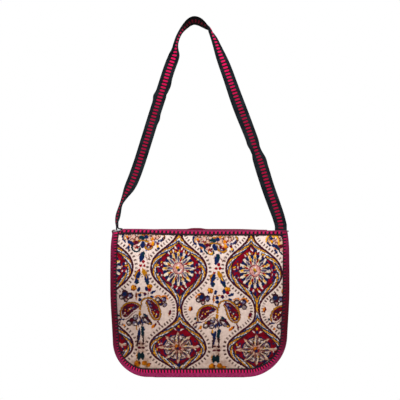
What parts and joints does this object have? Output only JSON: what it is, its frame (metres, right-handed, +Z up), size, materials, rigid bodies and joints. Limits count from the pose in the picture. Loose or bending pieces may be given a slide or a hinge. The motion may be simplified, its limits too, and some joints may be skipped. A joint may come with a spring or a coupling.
{
  "type": "crossbody bag",
  "caption": "Soft crossbody bag with a printed canvas flap bound in woven ribbon, a crimson pile-cloth pouch, and a woven strap looped through metal rings, hanging by its strap.",
  "frame": {"origin": "the middle of the strap's underside where the bag hangs", "axes": "+Z up, the flap faces -Y, +X to the right as seen from the front"},
  "size_m": [0.3019, 0.0722, 0.6086],
  "materials": {
    "printed_canvas": "matte cotton canvas with a block print",
    "binding_ribbon": "woven crimson and dark ribbon",
    "pile_cloth": "crimson short-pile cloth",
    "strap_weave": "dark woven band with crimson dashes",
    "ring_metal": "plated wire"
  },
  "bodies": {
    "root": {"flap": "printed_canvas", "flap_binding": "binding_ribbon", "back_panel": "pile_cloth", "front_panel": "pile_cloth", "gusset": "pile_cloth", "strap": "strap_weave", "ring_left": "ring_metal", "ring_right": "ring_metal", "ring_tab_left": "pile_cloth", "ring_tab_right": "pile_cloth"}
  },
  "joints": []
}
